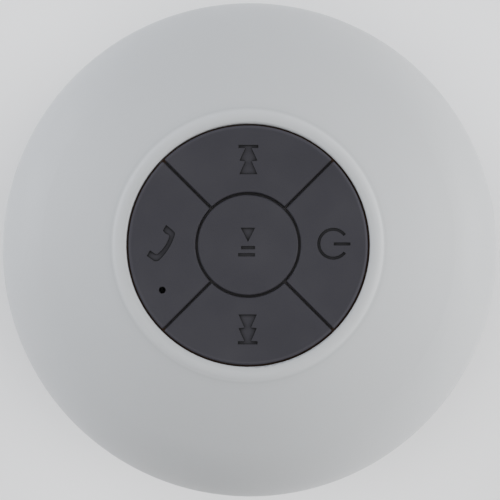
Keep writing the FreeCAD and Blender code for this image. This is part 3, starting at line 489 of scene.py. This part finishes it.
def repaint(name, choose):
    """Gives each loose part of a node the material that choose(number, length in mm) names, or leaves it."""
    mesh = nodes[name].data
    for number, polygons in enumerate(loose_parts(mesh)):
        across = [mesh.vertices[index].co.x for polygon in polygons for index in polygon.vertices]
        material = choose(number, round((max(across) - min(across)) / MM, 1))
        if material is None:
            continue
        if material.name not in mesh.materials:
            mesh.materials.append(material)
        for polygon in polygons:
            polygon.material_index = mesh.materials.find(material.name)


for name in ("battery_leads", "usb_leads", "speaker_leads"):
    repaint(name, lambda number, length: BLACK if number == 0 else None)
repaint("board_components", lambda number, length: {3.2: TIN, 3.0: FERRITE, 1.6: CERAMIC}.get(length))


def legs(name, feet, side, wide, tall, board, way_up):
    """Flat bent legs of a soldered part: out of its side, down to the board and out along it.

    feet are the points (x, y) where the legs leave the part, and side is the direction (x, y) that they leave
    it in. wide is a leg's width, and tall is how far above the board it starts. board is the height of the
    board's face, and way_up is 1 for a part on top of the board and -1 for one under it.
    """
    thick, reach, gap = 0.2 * MM, 0.3 * MM, 0.02 * MM
    outline = [
        (-reach / 3, tall),
        (reach, tall),
        (1.8 * reach, thick),
        (3.6 * reach, thick),
        (3.6 * reach, 0),
        (1.5 * reach, 0),
        (0.75 * reach, tall - thick),
        (-reach / 3, tall - thick),
    ]
    shape = bmesh.new()
    for x, y in feet:
        rings = []
        for offset in (-wide / 2, wide / 2):
            ring = []
            for out, rise in outline:
                corner = (x + side[0] * out + side[1] * offset, y + side[1] * out + side[0] * offset)
                ring.append(shape.verts.new((*corner, board + way_up * (rise + gap))))
            rings.append(ring)
        for i in range(len(outline)):
            after = (i + 1) % len(outline)
            shape.faces.new((rings[0][i], rings[0][after], rings[1][after], rings[1][i]))
        shape.faces.new(rings[0])
        shape.faces.new(rings[1])
    bmesh.ops.recalc_face_normals(shape, faces=shape.faces)
    mesh = bpy.data.meshes.new(name)
    shape.to_mesh(mesh)
    shape.free()
    mesh.materials.append(TIN)
    piece = bpy.data.objects.new(name, mesh)
    bpy.context.scene.collection.objects.link(piece)
    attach(piece, "housing")


def switch_legs():
    """Two legs on each side of every switch, on top of the board."""
    board_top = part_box("main_board")[1].z
    spacing = 4.5 * MM
    for name in [name for name in nodes if name.startswith("switch_")]:
        near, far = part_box(name)
        middle_y = (near.y + far.y) / 2
        for word, x, way in (("left", near.x, -1), ("right", far.x, 1)):
            feet = [(x, middle_y - spacing / 2), (x, middle_y + spacing / 2)]
            legs(f"{name}_legs_{word}", feet, (way, 0), 0.7 * MM, 0.9 * MM, board_top, 1)


def amplifier_legs():
    """Four legs on each side of the amplifier, under the board."""
    board_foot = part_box("main_board")[0].z
    near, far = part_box("amplifier_chip")
    step = (far.x - near.x) / 4
    for word, y, way in (("left", near.y, -1), ("right", far.y, 1)):
        feet = [(near.x + step * (i + 0.5), y) for i in range(4)]
        legs(f"amplifier_legs_{word}", feet, (0, way), 0.4 * MM, 0.7 * MM, board_foot, -1)


def bending_surround():
    """The driver's soft surround, in place of the plain one: its flange stays as it is, and the outer part of
    its roll is drawn in, so that it clears the basket."""
    mesh = nodes["driver_surround"].data.copy()
    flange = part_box("driver_surround")[0].z
    fixed, moving = flange + 0.3 * MM, flange + 0.4 * MM
    crest, share_kept = 17.05 * MM, 0.4
    for vertex in mesh.vertices:
        reach = vertex.co.xy.length
        if vertex.co.z > fixed + 0.01 * MM and reach > crest:
            vertex.co.xy *= (crest + share_kept * (reach - crest)) / reach
    piece = bpy.data.objects.new("surround_roll", mesh)
    bpy.context.scene.collection.objects.link(piece)
    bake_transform(piece)
    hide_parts("driver_surround")


switch_legs()
amplifier_legs()
bending_surround()


# ---------------------------------------------------------------- camera, lights and floor


middle = Vector((0, 0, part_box("front_skin")[1].z * 0.64))


def front_camera():
    """Looks at the keypad from the front, leaning a little, with the dome nearly as wide as the frame."""
    distance, share_of_frame, half_sensor = 0.65, 0.989, 18
    lean_x, lean_y = math.radians(0.78), math.radians(-2.2)
    place = middle + Vector((math.sin(lean_x), math.sin(lean_y), math.cos(lean_y))) * distance
    back = (place - middle).normalized()
    right = Vector((0, 1, 0)).cross(back).normalized()
    camera = bpy.data.objects.new("camera", bpy.data.cameras.new("camera"))
    turn = Matrix((right, back.cross(right), back)).transposed().to_4x4()
    camera.matrix_world = Matrix.Translation(place) @ turn
    half_angle = math.asin(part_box("front_skin")[1].x / distance)
    camera.data.sensor_width = 2 * half_sensor
    camera.data.lens = half_sensor * share_of_frame / math.tan(half_angle)
    camera.data.shift_x, camera.data.shift_y = 0.0008, -0.0012
    camera.data.clip_start, camera.data.clip_end = 0.01, 20
    bpy.context.scene.collection.objects.link(camera)
    bpy.context.scene.camera = camera


def round_light(name, place, size, power, colour=(1, 1, 1)):
    """A soft round light that faces the middle of the object."""
    light = bpy.data.lights.new(name, "AREA")
    light.shape = "DISK"
    light.size = size
    light.energy = power
    light.color = colour
    thing = bpy.data.objects.new(name, light)
    thing.location = place
    thing.rotation_mode = "QUATERNION"
    thing.rotation_quaternion = (middle - Vector(place)).to_track_quat("-Z", "Y")
    bpy.context.scene.collection.objects.link(thing)


def studio_world():
    """Light from all round: a little dimmer and warmer from -Y, and a little bluer from +Y."""
    world = bpy.data.worlds.new("studio")
    bpy.context.scene.world = world
    world.use_nodes = True
    tree = world.node_tree
    parts = tree.nodes.new("ShaderNodeSeparateXYZ")
    tree.links.new(tree.nodes.new("ShaderNodeTexCoord").outputs["Generated"], parts.inputs["Vector"])
    fade = tree.nodes.new("ShaderNodeMapRange")
    fade.inputs["From Min"].default_value = -1
    fade.inputs["From Max"].default_value = 1
    tree.links.new(parts.outputs["Y"], fade.inputs["Value"])
    sky = tree.nodes.new("ShaderNodeMix")
    sky.data_type = "RGBA"
    sky.inputs[MIX_FIRST].default_value = (0.265, 0.247, 0.22, 1)
    sky.inputs[MIX_SECOND].default_value = (0.58, 0.62, 0.71, 1)
    tree.links.new(fade.outputs["Result"], sky.inputs[MIX_FACTOR])
    tree.links.new(sky.outputs[MIX_RESULT], tree.nodes["Background"].inputs["Color"])


def studio_floor():
    """A wide sheet of white paper under the suction cup."""
    half = 3.0
    mesh = bpy.data.meshes.new("floor")
    corners = [(-half, -half, 0), (half, -half, 0), (half, half, 0), (-half, half, 0)]
    mesh.from_pydata(corners, [], [(0, 1, 2, 3)])
    paper = Nodes("floor_paper")
    paper.set(Base_Color=(0.9, 0.9, 0.9, 1), Roughness=0.8)
    mesh.materials.append(paper.material)
    floor = bpy.data.objects.new("floor", mesh)
    floor.location.z = cad_box[0].z - 0.01 * MM
    bpy.context.scene.collection.objects.link(floor)


front_camera()
round_light("overhead_light", (0, -0.08, 1.2), 0.9, 12.8)
round_light("right_light", (1.1, 0.08, 0.24), 0.7, 23.2)
round_light("left_light", (-1.06, 0.42, 0.28), 0.7, 15.0, (0.955, 0.99, 1.06))
studio_world()
studio_floor()
